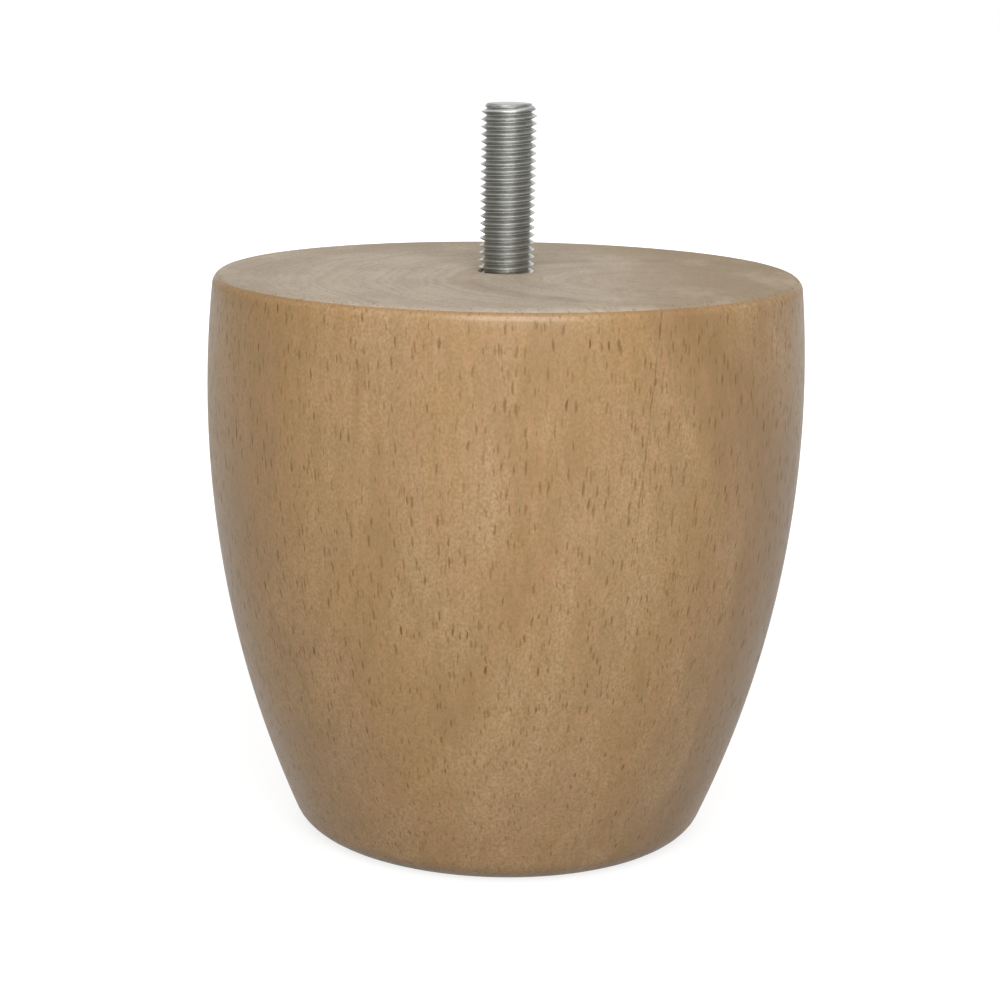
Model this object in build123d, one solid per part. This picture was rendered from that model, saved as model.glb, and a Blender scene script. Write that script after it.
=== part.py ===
from build123d import *
from math import ceil, radians, sqrt, tan
import os

# A turned wooden furniture leg with a hanger bolt standing out of its top.
# Millimetres, +Z up, origin at the centre of the flat face that the leg stands on.

# Turned wood
LEG_HEIGHT = 82.5
BELLY_DIAMETER = 86.4
BELLY_HEIGHT = 65.3  # where the leg is widest
SIDE_RADIUS = 157.0  # one arc makes the whole side
TOP_EDGE_RADIUS = 1.6
FOOT_EDGE_RADIUS = 3.0

# Machine-threaded half of the bolt, 5/16 in across, which stands above the wood
STUD_DIAMETER = 7.94
STUD_LENGTH = 24.1
STUD_CHAMFER = 1.1

# Half of the bolt inside the wood: a plain shank, a coarse wood thread and a point
SHANK_DIAMETER = 7.2
SHANK_LENGTH = 3.2
SCREW_TAPER_LENGTH = 0.8  # from the shank down to the thinner core
SCREW_CORE_DIAMETER = 5.8
SCREW_LENGTH = 12.7
SCREW_POINT_LENGTH = 4.4
SCREW_POINT_DIAMETER = 2.0

# Sharp ridge of the coarse wood thread
RIDGE_DIAMETER = 7.8
RIDGE_PITCH = 2.82
RIDGE_FLANK_ANGLE = 30.0
RIDGE_ROOT_DEPTH = 0.25  # how deep its foot lies inside the core

# Countersunk mouth of the hole, which keeps the wood's fibres clear of the stud
MOUTH_CLEARANCE = 0.15
MOUTH_DEPTH = 0.6

# A cubic curve with handles this long, as a share of the corner, is very nearly round
ROUND_HANDLE = 0.55

# The outline comes in short pieces, so that the facets of the turned faces stay few and true
EDGE_STEPS = 3  # straight steps along each rounded edge
SIDE_STRETCHES = 3  # arcs along the side

# Heights along the bolt
STUD_TOP = LEG_HEIGHT + STUD_LENGTH
SHANK_BOTTOM = LEG_HEIGHT - SHANK_LENGTH
CORE_TOP = SHANK_BOTTOM - SCREW_TAPER_LENGTH
CORE_BOTTOM = SHANK_BOTTOM - SCREW_LENGTH
POINT_BOTTOM = CORE_BOTTOM - SCREW_POINT_LENGTH


def on_side(height):
    """The point of the side's arc at a height, drawn in X and Z."""
    centre = BELLY_DIAMETER / 2 - SIDE_RADIUS
    reach = sqrt(SIDE_RADIUS**2 - (height - BELLY_HEIGHT) ** 2)
    return Vector(centre + reach, 0, height)


def rounded_edge(corner, flat_end, side_end):
    """The short straight steps that round a corner between a flat face and the side."""
    flat_handle = flat_end + (corner - flat_end) * ROUND_HANDLE
    side_handle = side_end + (corner - side_end) * ROUND_HANDLE
    curve = Bezier(flat_end, flat_handle, side_handle, side_end)
    steps = Polyline(*[curve @ (i / EDGE_STEPS) for i in range(EDGE_STEPS + 1)])
    return steps.edges()


def side_arcs(bottom, top):
    """The side between two heights, as arcs of one circle that follow each other."""
    rise = (top - bottom) / SIDE_STRETCHES
    arcs = []
    for i in range(SIDE_STRETCHES):
        low = bottom + i * rise
        arc = ThreePointArc(on_side(low), on_side(low + rise / 2), on_side(low + rise))
        arcs += arc.edges()
    return arcs


def leg_blank():
    """The wood before it takes the bolt: a flat top and foot joined by one long curve."""
    foot_corner = on_side(0)
    foot_flat = foot_corner - Vector(FOOT_EDGE_RADIUS, 0, 0)
    foot_side = on_side(FOOT_EDGE_RADIUS)
    top_corner = on_side(LEG_HEIGHT)
    top_flat = top_corner - Vector(TOP_EDGE_RADIUS, 0, 0)
    top_side = on_side(LEG_HEIGHT - TOP_EDGE_RADIUS)
    flats = Polyline(top_flat, (0, 0, LEG_HEIGHT), (0, 0, 0), foot_flat)
    outline = flats.edges()
    outline += rounded_edge(foot_corner, foot_flat, foot_side)
    outline += side_arcs(FOOT_EDGE_RADIUS, LEG_HEIGHT - TOP_EDGE_RADIUS)
    outline += rounded_edge(top_corner, top_flat, top_side)
    return revolve(make_face(outline), Axis.Z)


def turned(*corners):
    """A solid of revolution round Z. Each corner of its section is a radius and a height."""
    section = Polyline(*[(radius, 0, height) for radius, height in corners], close=True)
    return revolve(make_face(section), Axis.Z)


def bolt_core():
    """The bolt without its wood thread, from the chamfered stud down to the point."""
    stud = STUD_DIAMETER / 2
    shank = SHANK_DIAMETER / 2
    core = SCREW_CORE_DIAMETER / 2
    return turned(
        (0, STUD_TOP),
        (stud - STUD_CHAMFER, STUD_TOP),
        (stud, STUD_TOP - STUD_CHAMFER),
        (stud, LEG_HEIGHT),
        (shank, LEG_HEIGHT),
        (shank, SHANK_BOTTOM),
        (core, CORE_TOP),
        (core, CORE_BOTTOM),
        (SCREW_POINT_DIAMETER / 2, POINT_BOTTOM),
        (0, POINT_BOTTOM),
    )


def ridge_turn():
    """One right-hand turn of the wood thread's ridge, with sloping flanks and a sharp crest."""
    crest = RIDGE_DIAMETER / 2
    root = SCREW_CORE_DIAMETER / 2 - RIDGE_ROOT_DEPTH
    half_width = (crest - root) * tan(radians(RIDGE_FLANK_ANGLE))
    profile = Polyline((root, 0, -half_width), (crest, 0, 0), (root, 0, half_width), close=True)
    helix = Helix(RIDGE_PITCH, RIDGE_PITCH, root)
    return sweep(make_face(profile), path=helix, is_frenet=True)


def ridge_envelope():
    """The turned space of the wood thread, which closes in at 45 degrees at both ends."""
    wide = RIDGE_DIAMETER / 2 + RIDGE_ROOT_DEPTH
    narrow = SCREW_CORE_DIAMETER / 2 - 2 * RIDGE_ROOT_DEPTH
    close_in = wide - narrow
    return turned(
        (0, CORE_TOP),
        (narrow, CORE_TOP),
        (wide, CORE_TOP - close_in),
        (wide, CORE_BOTTOM + close_in),
        (narrow, CORE_BOTTOM),
        (0, CORE_BOTTOM),
    )


def wood_thread():
    """The turns of the ridge, which run in below the shank and run out at the point."""
    turn = ridge_turn()
    envelope = ridge_envelope()
    first = CORE_BOTTOM - RIDGE_PITCH / 2
    count = ceil((CORE_TOP - first) / RIDGE_PITCH)
    turns = [Pos(0, 0, first + i * RIDGE_PITCH) * turn & envelope for i in range(count)]
    return [piece for piece in turns if piece]


def hanger_bolt():
    """The steel bolt as one piece."""
    return bolt_core() + wood_thread()


def hole_mouth():
    """The cone that opens the top of the hole a little wider than the stud."""
    return turned(
        (0, LEG_HEIGHT - MOUTH_DEPTH),
        (SHANK_DIAMETER / 2, LEG_HEIGHT - MOUTH_DEPTH),
        (STUD_DIAMETER / 2 + MOUTH_CLEARANCE, LEG_HEIGHT),
        (0, LEG_HEIGHT),
    )


def leg_body(bolt):
    """The turned wood, with the hole and thread that the bolt has cut in it."""
    return leg_blank() - bolt - hole_mouth()


bolt = hanger_bolt()
wood = leg_body(bolt)

os.makedirs("parts", exist_ok=True)
export_step(wood, "parts/leg_body.step")
export_step(bolt, "parts/hanger_bolt.step")
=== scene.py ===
import bpy
from math import ceil, cos, pi, radians, sin, sqrt
from mathutils import Euler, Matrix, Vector


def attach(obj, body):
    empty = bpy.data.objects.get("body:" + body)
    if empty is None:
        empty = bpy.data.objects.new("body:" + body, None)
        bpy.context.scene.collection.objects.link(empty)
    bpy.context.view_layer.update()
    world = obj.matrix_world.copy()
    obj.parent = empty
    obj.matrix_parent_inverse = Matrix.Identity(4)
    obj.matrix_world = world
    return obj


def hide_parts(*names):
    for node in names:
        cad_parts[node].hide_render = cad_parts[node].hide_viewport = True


# A turned wooden furniture leg with a hanger bolt standing out of its top.
# Metres, +Z up, origin at the centre of the flat face that the leg stands on.

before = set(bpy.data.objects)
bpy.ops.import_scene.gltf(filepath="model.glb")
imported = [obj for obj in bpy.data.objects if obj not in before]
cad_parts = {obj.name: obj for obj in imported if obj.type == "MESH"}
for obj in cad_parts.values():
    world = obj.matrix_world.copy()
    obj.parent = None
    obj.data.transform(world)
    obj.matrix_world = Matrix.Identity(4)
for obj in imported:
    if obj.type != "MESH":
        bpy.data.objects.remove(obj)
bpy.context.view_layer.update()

MM = 0.001
SHARP_ANGLE = radians(35)  # edges that turn more than this are shaded sharp

# Wood, with the same outline as the solid. The skin lies a hair inside the solid's box.
LEG_HEIGHT = 82.5 * MM
BELLY_RADIUS = 43.2 * MM
BELLY_HEIGHT = 65.3 * MM
SIDE_RADIUS = 157.0 * MM
TOP_EDGE_RADIUS = 1.6 * MM
FOOT_EDGE_RADIUS = 3.0 * MM
ROUND_HANDLE = 0.55  # handles of the cubic curve that rounds an edge
SKIN_INSET = 0.01 * MM
MOUTH_RADIUS = 4.12 * MM
MOUTH_DEPTH = 0.6 * MM
HOLE_CLEARANCE = 0.02 * MM
WOOD_SIDES = 192
SIDE_STEPS = 64
EDGE_STEPS = 8
FINISH_STEP = 4  # how many of them the side's finish covers at the top edge
EDGE_HOLD = 0.3 * MM  # width of the ring that keeps a flat face flat beside its rounded edge
MOUTH_HOLD = 0.2 * MM  # width of the ring that does so round the mouth of the hole
FINISHED, BARE = 0, 1  # the wood's material slots

# Machine thread, 5/16 in across with 24 turns to the inch
STUD_RADIUS = 3.97 * MM
STUD_LENGTH = 24.1 * MM
STUD_CHAMFER = 1.1 * MM
STUD_CHAMFER_CURVE = 1.3  # above 1, the chamfer sets in gently and steepens towards the end
STUD_END_CUT = 0.85 * MM  # how much radius the chamfer takes off at the very end
STUD_CROWN = 0.12 * MM  # height of the sheared end above the chamfer
STUD_END = ((0.60, 0.3), (0.35, 0.0), (0.0, 0.2))  # shares of the radius, and of the crown down
FINE_PITCH = 1.0583 * MM
FINE_DEPTH = 0.78 * MM
FINE_CREST = 0.07  # flat widths as a share of the pitch
FINE_ROOT = 0.10
FINE_ROWS = (0.0, 0.035, 0.12, 0.24, 0.36, 0.45, 0.5, 0.55, 0.64, 0.76, 0.88, 0.965)

# Half of the bolt inside the wood
SHANK_RADIUS = 3.6 * MM
SHANK_LENGTH = 3.2 * MM
TAPER_LENGTH = 0.8 * MM
CORE_RADIUS = 2.9 * MM
COARSE_RADIUS = 3.9 * MM
COARSE_PITCH = 2.82 * MM
COARSE_RIDGE = 0.41  # width of the ridge's foot as a share of the pitch
COARSE_SINK = 0.5 * MM  # how deep in the core the 45 degree ends of the ridge set out
COARSE_ROWS = (0.0, 0.1, 0.205, 0.35, 0.5, 0.65, 0.795, 0.9)
SCREW_LENGTH = 12.7 * MM
POINT_LENGTH = 4.4 * MM
POINT_RADIUS = 1.0 * MM
BOLT_SIDES = 96

# Heights along the bolt
STUD_TOP = LEG_HEIGHT + STUD_LENGTH
THREAD_TOP = STUD_TOP - STUD_CROWN
THREAD_BOTTOM = LEG_HEIGHT - MOUTH_DEPTH
SHANK_BOTTOM = LEG_HEIGHT - SHANK_LENGTH
CORE_TOP = SHANK_BOTTOM - TAPER_LENGTH
CORE_BOTTOM = SHANK_BOTTOM - SCREW_LENGTH
POINT_BOTTOM = CORE_BOTTOM - POINT_LENGTH
SCREW_START = CORE_BOTTOM - COARSE_PITCH / 2
LEAD_TURNS = 2  # turns that a thread's mesh begins below it, so that no side misses any

# Camera, fitted to the photograph
CAMERA_DISTANCE = 353.8 * MM
CAMERA_HEIGHT = 123.7 * MM
CAMERA_PITCH = 0.2095  # radians below the horizon
CAMERA_YAW = 0.0426
CAMERA_ROLL = 0.0090
CAMERA_FOCUS = 2452.9  # focal length in pixels of the frame
FRAME_WIDTH = 1000
SENSOR_WIDTH = 36.0
CAMERA_SHIFT = 0.10


def make_camera():
    """The camera at the photograph's viewpoint, with the leg a little to the right of its axis."""
    data = bpy.data.cameras.new("camera")
    data.sensor_width = SENSOR_WIDTH
    data.lens = CAMERA_FOCUS / FRAME_WIDTH * SENSOR_WIDTH
    data.shift_x = CAMERA_SHIFT
    data.clip_start = 0.01
    data.clip_end = 20
    camera = bpy.data.objects.new("camera", data)
    bpy.context.scene.collection.objects.link(camera)
    camera.location = (0, -CAMERA_DISTANCE, CAMERA_HEIGHT)
    look = Euler((pi / 2 - CAMERA_PITCH, 0, CAMERA_YAW)).to_matrix()
    roll = Euler((0, 0, CAMERA_ROLL)).to_matrix()
    camera.rotation_euler = (look @ roll).to_euler()
    bpy.context.scene.camera = camera


class Skin:
    """Points and faces of one mesh. Points at the same place are one point."""

    def __init__(self):
        self.points = []
        self.faces = []
        self.slots = []
        self.places = {}

    def point(self, place):
        """The number of the point at that place, which is added if it is new."""
        key = tuple(round(value, 8) for value in place)
        if key not in self.places:
            self.places[key] = len(self.points)
            self.points.append(place)
        return self.places[key]

    def face(self, corners, slot, flip):
        """A face through the corners, unless so many fall together that it has no area."""
        ring = []
        for corner in corners:
            index = self.point(corner)
            if index not in ring:
                ring.append(index)
        if len(ring) > 2:
            self.faces.append(ring[::-1] if flip else ring)
            self.slots.append(slot)

    def piece(self, name):
        """The mesh object, shaded smooth except at sharp edges, riding on the leg."""
        mesh = bpy.data.meshes.new(name)
        mesh.from_pydata(self.points, [], self.faces)
        mesh.polygons.foreach_set("material_index", self.slots)
        mesh.shade_smooth()
        mesh.set_sharp_from_angle(angle=SHARP_ANGLE)
        made = bpy.data.objects.new(name, mesh)
        bpy.context.scene.collection.objects.link(made)
        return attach(made, "root")


def on_circle(radius, turn, height):
    """The point at that share of a full turn round Z."""
    angle = 2 * pi * (turn % 1.0)
    return (radius * cos(angle), radius * sin(angle), height)


def turn_profile(skin, profile, sides, slot=0):
    """A lathe-turned surface through radii and heights. It faces outwards where they go up."""
    for (low_radius, low), (high_radius, high) in zip(profile, profile[1:]):
        for column in range(sides):
            here, after = column / sides, (column + 1) / sides
            corners = [
                on_circle(low_radius, here, low),
                on_circle(low_radius, after, low),
                on_circle(high_radius, after, high),
                on_circle(high_radius, here, high),
            ]
            skin.face(corners, slot, False)


def wind_thread(skin, radius_at, bottom, top, pitch, start, rows, sides, slot=0, flip=False):
    """A threaded surface whose mesh follows the helix. The rows are phases within one pitch."""
    turns = ceil((top - bottom) / pitch) + LEAD_TURNS + 1
    first = bottom - LEAD_TURNS * pitch - (bottom - start) % pitch

    def corner(column, row):
        turn = column / sides
        raw = first + (row // len(rows) + rows[row % len(rows)] + turn) * pitch
        height = min(max(raw, bottom), top)
        phase = (height - start) / pitch - turn
        return on_circle(radius_at(height, phase), turn, height)

    for column in range(sides):
        for row in range(turns * len(rows)):
            corners = [
                corner(column, row),
                corner(column + 1, row),
                corner(column + 1, row + 1),
                corner(column, row + 1),
            ]
            skin.face(corners, slot, flip)


def from_crest(phase):
    """How far a phase is from the nearest crest, from 0 to 0.5."""
    return abs(phase - round(phase))


def stud_radius(height, phase):
    """The machine thread, cut back by the chamfer at its end and run out inside the wood."""
    flank = (0.5 - FINE_ROOT / 2 - from_crest(phase)) / (0.5 - FINE_ROOT / 2 - FINE_CREST / 2)
    radius = STUD_RADIUS - FINE_DEPTH * (1 - min(max(flank, 0), 1))
    to_end = min(max((THREAD_TOP - height) / STUD_CHAMFER, 0), 1)
    radius = min(radius, STUD_RADIUS - STUD_END_CUT * (1 - to_end) ** STUD_CHAMFER_CURVE)
    run_out = min((height - THREAD_BOTTOM) / MOUTH_DEPTH, 1)
    return SHANK_RADIUS + (radius - SHANK_RADIUS) * run_out


def screw_radius(height, phase):
    """The coarse wood thread, which closes in at 45 degrees at both ends."""
    ridge = max(0, 1 - from_crest(phase) / (COARSE_RIDGE / 2))
    radius = CORE_RADIUS + (COARSE_RADIUS - CORE_RADIUS) * ridge
    closing = CORE_RADIUS - COARSE_SINK + min(height - CORE_BOTTOM, CORE_TOP - height)
    return min(radius, max(CORE_RADIUS, closing))


def hole_radius(height, phase):
    """The thread that the bolt has cut in the wood."""
    return screw_radius(height, phase) + HOLE_CLEARANCE


def make_bolt():
    """The steel hanger bolt: machine thread, shank, wood thread and point, as one closed mesh."""
    skin = Skin()
    point = [(0, POINT_BOTTOM), (POINT_RADIUS, POINT_BOTTOM), (CORE_RADIUS, CORE_BOTTOM)]
    turn_profile(skin, point, BOLT_SIDES)
    wind_thread(
        skin, screw_radius, CORE_BOTTOM, CORE_TOP, COARSE_PITCH, SCREW_START, COARSE_ROWS, BOLT_SIDES
    )
    shank = [(CORE_RADIUS, CORE_TOP), (SHANK_RADIUS, SHANK_BOTTOM), (SHANK_RADIUS, THREAD_BOTTOM)]
    turn_profile(skin, shank, BOLT_SIDES)
    wind_thread(
        skin, stud_radius, THREAD_BOTTOM, THREAD_TOP, FINE_PITCH, LEG_HEIGHT, FINE_ROWS, BOLT_SIDES
    )
    end = [(STUD_RADIUS - STUD_END_CUT, THREAD_TOP)]
    end += [(STUD_RADIUS * out, STUD_TOP - STUD_CROWN * down) for out, down in STUD_END]
    turn_profile(skin, end, BOLT_SIDES)
    return skin.piece("steel_bolt")


def on_side(height):
    """Radius and height of the side's arc."""
    centre = BELLY_RADIUS - SIDE_RADIUS - SKIN_INSET
    return (centre + sqrt(SIDE_RADIUS**2 - (height - BELLY_HEIGHT) ** 2), height)


def rounded_edge(start, corner, end):
    """Points on the cubic curve that rounds a corner."""
    places = (
        start,
        tuple(a + (c - a) * ROUND_HANDLE for a, c in zip(start, corner)),
        tuple(b + (c - b) * ROUND_HANDLE for b, c in zip(end, corner)),
        end,
    )
    points = []
    for step in range(EDGE_STEPS + 1):
        t = step / EDGE_STEPS
        weights = ((1 - t) ** 3, 3 * t * (1 - t) ** 2, 3 * t**2 * (1 - t), t**3)
        points.append(tuple(sum(w * p[i] for w, p in zip(weights, places)) for i in (0, 1)))
    return points


def make_wood():
    """The turned wood with the hole that the bolt has cut in it, as one closed mesh."""
    foot_corner = on_side(0)
    foot_flat = (foot_corner[0] - FOOT_EDGE_RADIUS, 0)
    top_corner = on_side(LEG_HEIGHT)
    top_flat = (top_corner[0] - TOP_EDGE_RADIUS, LEG_HEIGHT)
    low, high = FOOT_EDGE_RADIUS, LEG_HEIGHT - TOP_EDGE_RADIUS
    top_edge = rounded_edge(on_side(high), top_corner, top_flat)
    side = rounded_edge(foot_flat, foot_corner, on_side(low))
    side += [on_side(low + (high - low) * i / SIDE_STEPS) for i in range(1, SIDE_STEPS)]
    side += top_edge[: FINISH_STEP + 1]
    foot = [(0, 0), (foot_flat[0] * 0.5, 0), (foot_flat[0] - EDGE_HOLD, 0), foot_flat]
    top = top_edge[FINISH_STEP:] + [
        (top_flat[0] - EDGE_HOLD, LEG_HEIGHT),
        (top_flat[0] * 0.5, LEG_HEIGHT),
        (MOUTH_RADIUS + MOUTH_HOLD, LEG_HEIGHT),
        (MOUTH_RADIUS, LEG_HEIGHT),
    ]
    shank = SHANK_RADIUS + HOLE_CLEARANCE
    core = CORE_RADIUS + HOLE_CLEARANCE
    mouth = [
        (MOUTH_RADIUS, LEG_HEIGHT),
        (shank, THREAD_BOTTOM),
        (shank, SHANK_BOTTOM),
        (core, CORE_TOP),
    ]
    tip = POINT_BOTTOM - HOLE_CLEARANCE
    point = [(core, CORE_BOTTOM), (POINT_RADIUS + HOLE_CLEARANCE, tip), (0, tip)]
    skin = Skin()
    turn_profile(skin, foot, WOOD_SIDES, BARE)
    turn_profile(skin, side, WOOD_SIDES, FINISHED)
    turn_profile(skin, top, WOOD_SIDES, BARE)
    turn_profile(skin, mouth, WOOD_SIDES, BARE)
    wind_thread(
        skin, hole_radius, CORE_BOTTOM, CORE_TOP, COARSE_PITCH, SCREW_START, COARSE_ROWS,
        WOOD_SIDES, BARE, True
    )
    turn_profile(skin, point, WOOD_SIDES, BARE)
    return skin.piece("turned_leg")


class Nodes:
    """A node tree, with short calls that add nodes to it and give their outputs."""

    def __init__(self, tree):
        self.tree = tree

    def add(self, kind, inputs=None, **settings):
        """A new node with its settings and inputs, which are values or other nodes' outputs."""
        made = self.tree.nodes.new(kind)
        for name, value in settings.items():
            setattr(made, name, value)
        for key, value in (inputs or {}).items():
            self.put(made, key, value)
        return made

    def put(self, node, key, value):
        """Set an input of a node to a value, or link it to an output."""
        if isinstance(value, bpy.types.NodeSocket):
            self.tree.links.new(value, node.inputs[key])
        else:
            node.inputs[key].default_value = value

    def math(self, operation, *values):
        made = self.add("ShaderNodeMath", dict(enumerate(values)), operation=operation)
        return made.outputs[0]

    def vector(self, operation, *values):
        made = self.add("ShaderNodeVectorMath", dict(enumerate(values)), operation=operation)
        return made.outputs["Value" if operation == "LENGTH" else "Vector"]

    def mix(self, share, first, second):
        """The first colour where the share is 0, and the second where it is 1."""
        made = self.add("ShaderNodeMix", {0: share, 6: first, 7: second}, data_type="RGBA")
        return made.outputs[2]

    def noise(self, place, scale, detail=2.0):
        """Noise between 0 and 1 whose cells are stretched as the scale of each axis says."""
        scaled = self.vector("MULTIPLY", place, scale)
        made = self.add("ShaderNodeTexNoise", {"Vector": scaled, "Scale": 1.0, "Detail": detail})
        return made.outputs[0]

    def shifted(self, value, noise, reach):
        """The value, shifted by the noise to either side by half the reach at most."""
        return self.math("ADD", value, self.math("MULTIPLY_ADD", noise, reach, -reach / 2))

    def ramp(self, value, low, high, low_out=0.0, high_out=1.0):
        """A smooth step of the value from low to high, clamped at both ends."""
        inputs = {0: value, 1: low, 2: high, 3: low_out, 4: high_out}
        made = self.add("ShaderNodeMapRange", inputs, interpolation_type="SMOOTHSTEP")
        return made.outputs[0]


class Shader(Nodes):
    """The nodes of a new material, with its Principled surface."""

    def __init__(self, name):
        self.material = bpy.data.materials.new(name)
        self.material.use_nodes = True
        super().__init__(self.material.node_tree)
        self.surface = self.tree.nodes["Principled BSDF"]

    def finish(self, **values):
        """Put the values on the surface's sockets of those names, and give the material."""
        for key, value in values.items():
            name = key.replace("_", " ").title().replace("Ior", "IOR")
            self.put(self.surface, name, value)
        return self.material


def millimetres(shader):
    """The place on the object in millimetres, and its X, Y and Z."""
    place = shader.add("ShaderNodeTexCoord").outputs["Object"]
    place = shader.vector("MULTIPLY", place, (1 / MM, 1 / MM, 1 / MM))
    parts = shader.add("ShaderNodeSeparateXYZ", {0: place})
    return (place, *parts.outputs)


# From here on to the lamps, places in the wood and steel are in millimetres, a noise is given by
# its cells per millimetre along X, Y and Z and how many finer layers it has, and a span is two
# values of a field between which a smooth step runs. Two more are what the step gives there.

# Growth rings round a leaning pith: distance from it in mm, and how dark the wood is there
PITH = (18.0, -7.0, 62.0)
PITH_LEAN = (0.113, -0.145)
RING_SPAN = 64.0
RINGS = (
    (0.0, 0.0), (3.5, 0.15), (4.6, 0.0), (8.0, 0.12), (10.5, 0.45), (11.6, 0.08),
    (15.5, 0.05), (18.0, 0.25), (19.0, 0.0), (22.0, 0.05), (25.2, 0.95), (27.2, 0.70),
    (28.6, 0.10), (33.0, 0.02), (36.0, 0.16), (37.2, 0.0), (43.0, 0.0), (46.0, 0.22),
    (47.5, 0.06), (52.0, 0.20), (56.0, 0.55), (58.5, 0.25), (64.0, 0.20),
)
RING_WARP = ((0.05, 0.05, 0.018), 1.0)
RING_WARP_REACH = 5.0
RING_TREMBLE = ((0.25, 0.25, 0.02), 2.0)
RING_TREMBLE_REACH = 2.4
RING_LAYERS = ((0.75, 0, 0), 3.0)  # fine rings, by the distance from the pith

# Vessels of the wood, which run up the leg and show as short dashes where its side cuts them
VESSEL_CELL = 0.50  # mm across the grain
VESSEL_STRETCH = 5.2  # how much longer they are along it
VESSEL_RADIUS = (0.09, 0.27)
VESSEL_CORE = 0.40  # share of the radius within which a vessel is fully dark
VESSEL_STRAY = ((0.5, 0.5, 0.35), 2.0)
VESSEL_WOBBLE = 0.9  # mm that they stray sideways at most
VESSEL_PATCHES = ((0.13, 0.13, 0.05), 2.0)
VESSEL_PRESENT = (0.58, 0.80)  # span of a random number plus the patches
GRAIN_FAN = 0.003  # how much the grain spreads with each mm of height
GRAIN_FAN_HEIGHT = 62  # mm up, where it changes nothing


def ring_field(shader, place, x, y, z):
    """How dark the growth rings are at the place, broad ones and fine ones, from 0 to 1."""
    away = []
    for value, pith, lean in zip((x, y), PITH, PITH_LEAN):
        centre = shader.math("MULTIPLY_ADD", z, lean, pith - lean * PITH[2])
        away.append(shader.math("SUBTRACT", value, centre))
    squares = [shader.math("MULTIPLY", value, value) for value in away]
    radius = shader.math("SQRT", shader.math("ADD", *squares))
    radius = shader.shifted(radius, shader.noise(place, *RING_WARP), RING_WARP_REACH)
    radius = shader.shifted(radius, shader.noise(place, *RING_TREMBLE), RING_TREMBLE_REACH)
    made = shader.add("ShaderNodeValToRGB", {0: shader.math("DIVIDE", radius, RING_SPAN)})
    made.color_ramp.interpolation = "EASE"
    stops = made.color_ramp.elements
    while len(stops) > 1:
        stops.remove(stops[-1])
    for distance, dark in RINGS:
        stop = stops[0] if distance == 0 else stops.new(distance / RING_SPAN)
        stop.position = distance / RING_SPAN
        stop.color = (dark, dark, dark, 1)
    across = shader.add("ShaderNodeCombineXYZ", {0: radius}).outputs[0]
    return made.outputs[0], shader.noise(across, *RING_LAYERS)


def vessel_field(shader, place, x, y, z):
    """Cut vessels, 0 in sound wood and 1 in an open pore, and a random number for each."""
    fan = shader.math("MULTIPLY_ADD", z, -GRAIN_FAN, 1 + GRAIN_FAN * GRAIN_FAN_HEIGHT)
    stray = shader.math("MULTIPLY", shader.noise(place, *VESSEL_STRAY), VESSEL_WOBBLE)
    fanned = shader.math("MULTIPLY_ADD", x, fan, stray)
    slow = shader.math("DIVIDE", z, VESSEL_STRETCH)
    along = shader.add("ShaderNodeCombineXYZ", {0: fanned, 1: y, 2: slow}).outputs[0]
    cells = shader.add("ShaderNodeTexVoronoi", {"Vector": along, "Scale": 1 / VESSEL_CELL})
    near = shader.math("MULTIPLY", cells.outputs["Distance"], VESSEL_CELL)
    chance = shader.add("ShaderNodeSeparateColor", {0: cells.outputs["Color"]})
    wide = shader.ramp(chance.outputs[0], 0.0, 1.0, *VESSEL_RADIUS)
    narrow = shader.math("MULTIPLY", wide, VESSEL_CORE)
    pore = shader.ramp(near, wide, narrow)
    patch = shader.noise(place, *VESSEL_PATCHES)
    present = shader.ramp(shader.math("ADD", chance.outputs[1], patch), *VESSEL_PRESENT)
    return shader.math("MULTIPLY", pore, present), chance.outputs[2]


# The thin dark line on the side
SEAM_PLACE = (18.0, 57.0)  # X and Z of a point on it
SEAM_LEAN = 0.09  # to the right with each mm of height
SEAM_WIGGLE = ((0.0, 0.0, 0.25), 2.0)
SEAM_WIGGLE_REACH = 0.8
SEAM_WIDTH = (0.16, 0.048)  # span of the distance from its middle
SEAM_FRONT = (-10.0, -25.0)  # span of Y
SEAM_HEIGHT = (44.0, 60.0)  # span of Z
SEAM_PATCHES = ((0.3, 0.3, 0.5), 2.0)
SEAM_PATCHY = (0.35, 0.55, 0.25, 1.0)


def seam_field(shader, place, x, y, z):
    """The thin dark line that runs down the front right of the side."""
    line = shader.math("MULTIPLY_ADD", z, SEAM_LEAN, SEAM_PLACE[0] - SEAM_LEAN * SEAM_PLACE[1])
    line = shader.shifted(line, shader.noise(place, *SEAM_WIGGLE), SEAM_WIGGLE_REACH)
    away = shader.math("ABSOLUTE", shader.math("SUBTRACT", x, line))
    seam = shader.ramp(away, *SEAM_WIDTH)
    seam = shader.math("MULTIPLY", seam, shader.ramp(y, *SEAM_FRONT))
    seam = shader.math("MULTIPLY", seam, shader.ramp(z, *SEAM_HEIGHT))
    patchy = shader.ramp(shader.noise(place, *SEAM_PATCHES), *SEAM_PATCHY)
    return shader.math("MULTIPLY", seam, patchy)


def wood_fields(shader, noises):
    """What varies in the wood, by name: the place in millimetres, rings, vessels and noises."""
    place, x, y, z = millimetres(shader)
    fields = {"place": place, "x": x, "y": y, "z": z}
    fields["ring"], fields["layer"] = ring_field(shader, place, x, y, z)
    fields["pore"], fields["chance"] = vessel_field(shader, place, x, y, z)
    for name, noise in noises.items():
        fields[name] = shader.noise(place, *noise)
    return fields


def tinted(shader, colour, fields, tints):
    """The colour with tints laid over it, one after the other, as strong as their fields say."""
    for name, span, strength, tint in tints:
        if span:
            share = shader.ramp(fields[name], *span, 0.0, strength)
        else:
            share = shader.math("MULTIPLY", fields[name], strength)
        colour = shader.mix(share, colour, (*tint, 1))
    return colour


MOTTLE_SPAN = (0.35, 0.65)  # from the duller of a wood's two ground colours to the paler one

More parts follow.
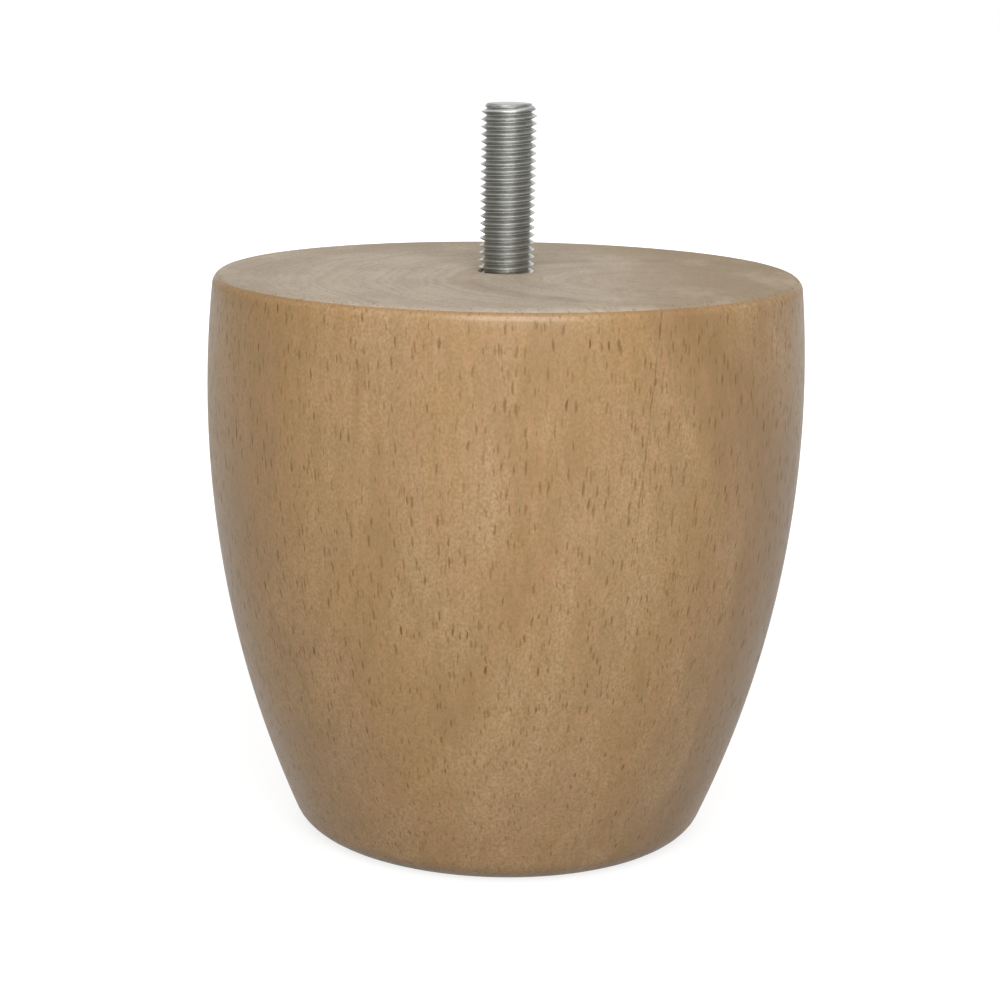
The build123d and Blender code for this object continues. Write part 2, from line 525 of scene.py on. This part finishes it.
# Side. A tint has the field that it follows, the span of that field or None where it follows it
# evenly, its greatest strength, and its colour.
SIDE_PALE = (0.520, 0.342, 0.192, 1)
SIDE_DEEP = (0.455, 0.278, 0.130, 1)
SIDE_NOISES = {
    "mottle": ((0.10, 0.10, 0.035), 3.0),
    "blotch": ((0.17, 0.17, 0.13), 2.0),
    "streak": ((1.6, 1.6, 0.10), 3.0),
    "grain": ((3.0, 3.0, 2.2), 6.0),
    "fleck": ((0.9, 0.9, 0.35), 2.0),
    "stain": ((0.22, 0.22, 0.05), 2.0),
}
SIDE_TINTS = (
    ("x", (-14.0, -36.0), 0.48, (0.560, 0.315, 0.098)),  # warmer to the left: partly the wood's own tone, partly painted shade that damps the pale sheen along the left edge
    ("blotch", (0.40, 0.70), 0.30, (0.350, 0.240, 0.140)),
    ("ring", None, 0.75, (0.270, 0.158, 0.080)),
    ("stain", (0.58, 0.70), 0.45, (0.330, 0.195, 0.085)),
    ("layer", (0.40, 0.62), 0.22, (0.310, 0.185, 0.085)),
    ("streak", (0.36, 0.64), 0.25, (0.325, 0.198, 0.080)),
    ("grain", (0.34, 0.66), 0.68, (0.305, 0.188, 0.070)),
    ("fleck", (0.52, 0.66), 0.30, (0.460, 0.245, 0.135)),
    ("open", None, 1.0, (0.158, 0.070, 0.014)),
    ("seam", None, 0.50, (0.150, 0.075, 0.030)),
    ("z", (81.4, 82.1), 0.45, (0.235, 0.140, 0.070)),  # painted shade at the top edge, where the rounding faces up and catches more light
)
PORE_DARK = (0.0, 1.0, 0.22, 0.62)  # how dark a vessel is by its random number
PORE_DARKEST = (0.96, 0.985, 0.0, 0.30)  # and how much darker still a few of them are
PORE_LOW = (8.0, 45.0, 0.72, 1.0)  # they are paler low on the side
SIDE_ROUGHNESS = (0.3, 0.7, 0.29, 0.37)
PORE_ROUGHNESS = 0.15
SIDE_SPECULAR = 0.37  # the finish is thin and satin
STREAK_RELIEF = 0.10  # heights beside the depth of a fully dark pore
GRAIN_RELIEF = 0.15
SIDE_BUMP = {"Distance": 0.06 * MM, "Strength": 0.6}


def finished_wood():
    """The side: pale brown open-pored wood under a satin clear finish."""
    shader = Shader("finished_wood")
    fields = wood_fields(shader, SIDE_NOISES)
    chance, z = fields["chance"], fields["z"]
    fields["seam"] = seam_field(shader, fields["place"], fields["x"], fields["y"], z)
    dark = shader.math("ADD", shader.ramp(chance, *PORE_DARK), shader.ramp(chance, *PORE_DARKEST))
    depth = shader.math("MULTIPLY", fields["pore"], dark)
    fields["open"] = shader.math("MULTIPLY", depth, shader.ramp(z, *PORE_LOW))

    colour = shader.mix(shader.ramp(fields["mottle"], *MOTTLE_SPAN), SIDE_DEEP, SIDE_PALE)
    colour = tinted(shader, colour, fields, SIDE_TINTS)
    rough = shader.ramp(fields["mottle"], *SIDE_ROUGHNESS)
    rough = shader.math("MULTIPLY_ADD", fields["pore"], PORE_ROUGHNESS, rough)
    relief = shader.math("MULTIPLY", fields["open"], -1.0)
    relief = shader.math("MULTIPLY_ADD", fields["streak"], STREAK_RELIEF, relief)
    relief = shader.math("MULTIPLY_ADD", fields["grain"], GRAIN_RELIEF, relief)
    bump = shader.add("ShaderNodeBump", {"Height": relief, **SIDE_BUMP})
    return shader.finish(
        base_color=colour,
        roughness=rough,
        normal=bump.outputs[0],
        specular_ior_level=SIDE_SPECULAR,
    )


# Top and foot
BARE_PALE = (0.490, 0.412, 0.325, 1)
BARE_GREY = (0.428, 0.358, 0.284, 1)
BARE_NOISES = {
    "mottle": ((0.07, 0.07, 0.07), 2.0),
    "patch": ((0.16, 0.07, 0.10), 3.0),
    "fine": ((1.6, 1.6, 1.6), 3.0),
}
BARE_TINTS = (
    ("browner", None, 1.0, (0.325, 0.246, 0.160)),
    ("ring", None, 0.45, (0.265, 0.190, 0.126)),
    ("layer", (0.38, 0.62), 0.30, (0.300, 0.238, 0.172)),
    ("fine", (0.38, 0.65), 0.20, (0.300, 0.238, 0.172)),
    ("patch", (0.48, 0.72), 0.42, (0.500, 0.420, 0.320)),
    ("pore", None, 0.35, (0.190, 0.130, 0.080)),
)
BROWNER_RIGHT = (5.0, 32.0, 0.0, 1.0)
BROWNER_BACK = (14.0, 38.0, 0.0, 0.35)
BARE_ROUGHNESS = 0.8
BARE_SPECULAR = 0.15
FINE_RELIEF = 0.5  # height beside the depth of an open pore
BARE_BUMP = {"Distance": 0.08 * MM, "Strength": 0.7}


def bare_wood():
    """The top and the foot: sawn and sanded end grain, bare and greyer than the side."""
    shader = Shader("bare_end_grain")
    fields = wood_fields(shader, BARE_NOISES)
    right = shader.ramp(fields["x"], *BROWNER_RIGHT)
    fields["browner"] = shader.math("ADD", right, shader.ramp(fields["y"], *BROWNER_BACK))

    colour = shader.mix(shader.ramp(fields["mottle"], *MOTTLE_SPAN), BARE_GREY, BARE_PALE)
    colour = tinted(shader, colour, fields, BARE_TINTS)
    relief = shader.math("MULTIPLY", fields["pore"], -1.0)
    relief = shader.math("MULTIPLY_ADD", fields["fine"], FINE_RELIEF, relief)
    bump = shader.add("ShaderNodeBump", {"Height": relief, **BARE_BUMP})
    return shader.finish(
        base_color=colour,
        roughness=BARE_ROUGHNESS,
        normal=bump.outputs[0],
        specular_ior_level=BARE_SPECULAR,
    )


# Zinc plate
# painted shade: the zinc is darker down in the thread's roots than on its crests
ZINC_SHADED_ROOT = (0.480, 0.485, 0.465, 1)
ZINC_CREST = (0.620, 0.625, 0.605, 1)
ZINC_CLOUD = (0.430, 0.450, 0.415, 1)
ZINC_REACH = (3.25, 3.95)  # span of the distance from the bolt's axis, from root to crest, over which the painted shade fades
ZINC_CLOUDS = ((0.8, 0.8, 0.5), 3.0)
ZINC_CLOUDY = (0.4, 0.65, 0.0, 0.35)
ZINC_GRIT = ((6.0, 6.0, 9.0), 3.0)
ZINC_ROUGHNESS = (0.3, 0.7, 0.26, 0.40)
ZINC_BUMP = {"Distance": 0.04 * MM, "Strength": 0.5}


def zinc_steel():
    """Bright zinc plate on the bolt, with painted shade that makes it duller and darker down in the
    thread.
    """
    shader = Shader("zinc_plated_steel")
    place = millimetres(shader)[0]
    reach = shader.vector("LENGTH", shader.vector("MULTIPLY", place, (1, 1, 0)))
    cloud = shader.noise(place, *ZINC_CLOUDS)
    grit = shader.noise(place, *ZINC_GRIT)
    # painted shade, darker towards the roots of the thread
    colour = shader.mix(shader.ramp(reach, *ZINC_REACH), ZINC_SHADED_ROOT, ZINC_CREST)
    colour = shader.mix(shader.ramp(cloud, *ZINC_CLOUDY), colour, ZINC_CLOUD)
    rough = shader.ramp(grit, *ZINC_ROUGHNESS)
    bump = shader.add("ShaderNodeBump", {"Height": grit, **ZINC_BUMP})
    return shader.finish(base_color=colour, metallic=1.0, roughness=rough, normal=bump.outputs[0])


FLOOR_OPENING = 25.5 * MM  # radius of a hole under the foot, seen by a camera from below only
FLOOR_RADII = (3.0, 0.3, FLOOR_OPENING)
FLOOR_SIDES = 96
FLOOR_DROP = 0.05 * MM  # how far below the foot it lies
FLOOR_COLOUR = (0.27, 0.27, 0.27, 1)
FLOOR_ROUGHNESS = 0.9
FLOOR_GLOW = (0.80, 1.0)  # near the leg, where its shadow falls, and far away
FLOOR_GLOW_REACH = (0.07, 0.30)  # metres from the leg
FLOOR_MIRRORED = 0.55  # how bright that glow is in a gloss


def mirrored_rays(nodes, path):
    """1 for rays that show the surroundings in a gloss or through glass, and 0 for the others."""
    glass = path.outputs["Is Transmission Ray"]
    return nodes.math("MAXIMUM", path.outputs["Is Glossy Ray"], glass)


def pale_floor():
    """Matt, clear from below, and with a glow that only the camera and a gloss see."""
    shader = Shader("pale_floor")
    shader.finish(base_color=FLOOR_COLOUR, roughness=FLOOR_ROUGHNESS, specular_ior_level=0.0)
    away = shader.vector("LENGTH", shader.add("ShaderNodeTexCoord").outputs["Object"])
    level = shader.ramp(away, *FLOOR_GLOW_REACH, *FLOOR_GLOW)
    path = shader.add("ShaderNodeLightPath")
    mirrored = shader.math("MULTIPLY", mirrored_rays(shader, path), FLOOR_MIRRORED)
    seen = shader.math("MAXIMUM", path.outputs["Is Camera Ray"], mirrored)
    glow = shader.add("ShaderNodeEmission", {"Strength": shader.math("MULTIPLY", level, seen)})
    lit = shader.add("ShaderNodeAddShader", {0: shader.surface.outputs[0], 1: glow.outputs[0]})
    clear = shader.add("ShaderNodeBsdfTransparent")
    below = shader.add("ShaderNodeNewGeometry").outputs["Backfacing"]
    shown = shader.add("ShaderNodeMixShader", {0: below, 1: lit.outputs[0], 2: clear.outputs[0]})
    shader.put(shader.tree.nodes["Material Output"], "Surface", shown.outputs[0])
    return shader.material


def make_floor():
    """A pale floor that stays white apart from the leg's soft shadow, seen from above only."""
    skin = Skin()
    turn_profile(skin, [(radius, 0.0) for radius in FLOOR_RADII], FLOOR_SIDES)
    mesh = bpy.data.meshes.new("floor")
    mesh.from_pydata(skin.points, [], skin.faces)
    mesh.materials.append(pale_floor())
    floor = bpy.data.objects.new("floor", mesh)
    floor.location.z = -FLOOR_DROP
    bpy.context.scene.collection.objects.link(floor)


WORLD_FILL = 0.40  # how bright the world is for the light that it gives
SIDE_WALLS = 0.30  # how bright the left and right of the studio are beside its front and back
SIDE_WALLS_REACH = (0.37, 0.78)  # share of X in a direction where they begin and are full
SIDE_WALLS_BACK = 0.14  # how much further round they reach behind the leg than in front


def make_world():
    """White behind the leg and in its gloss, darker to its left and right, and a soft fill."""
    world = bpy.data.worlds.new("studio")
    bpy.context.scene.world = world
    world.use_nodes = True
    nodes = Nodes(world.node_tree)
    path = nodes.add("ShaderNodeLightPath")
    place = nodes.add("ShaderNodeTexCoord").outputs["Generated"]
    parts = nodes.add("ShaderNodeSeparateXYZ", {0: place})
    sideways = nodes.math("ABSOLUTE", parts.outputs[0])
    behind = nodes.math("MULTIPLY", parts.outputs[1], SIDE_WALLS_BACK)
    walls = nodes.ramp(nodes.math("ADD", sideways, behind), *SIDE_WALLS_REACH, 1.0, SIDE_WALLS)
    level = nodes.math("MAXIMUM", mirrored_rays(nodes, path), WORLD_FILL)
    level = nodes.math("MULTIPLY", level, walls)
    level = nodes.math("MAXIMUM", level, path.outputs["Is Camera Ray"])
    sky = nodes.tree.nodes["Background"]
    nodes.put(sky, "Color", (1, 1, 1, 1))
    nodes.put(sky, "Strength", level)


# Square soft boxes that face the leg, by name: place, size, power, and whether a gloss shows
# them. Those that it doesn't show only fill the shade.
LAMPS = {
    "key": ((0.05, -0.80, 0.58), 0.70, 10.0, True),
    "back": ((0.0, 0.95, 0.36), 0.60, 4.5, False),
    "left": ((-0.82, 0.50, 0.36), 0.60, 1.4, False),
    "right": ((0.82, 0.50, 0.36), 0.60, 1.3, False),
}
LAMP_TARGET = Vector((0, 0, 0.05))


def add_lamps():
    """Hang the soft boxes round the leg."""
    for name, (place, size, power, mirrored) in LAMPS.items():
        data = bpy.data.lights.new(name, "AREA")
        data.shape = "SQUARE"
        data.size = size
        data.energy = power
        lamp = bpy.data.objects.new(name, data)
        lamp.location = place
        lamp.visible_glossy = mirrored
        aim = LAMP_TARGET - Vector(place)
        lamp.rotation_euler = aim.to_track_quat("-Z", "Y").to_euler()
        bpy.context.scene.collection.objects.link(lamp)


bpy.context.scene.view_settings.view_transform = "Standard"
make_camera()
make_floor()
make_world()
add_lamps()

bolt = make_bolt()
bolt.data.materials.append(zinc_steel())
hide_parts("hanger_bolt")

wood = make_wood()
wood.data.materials.append(finished_wood())
wood.data.materials.append(bare_wood())
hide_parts("leg_body")
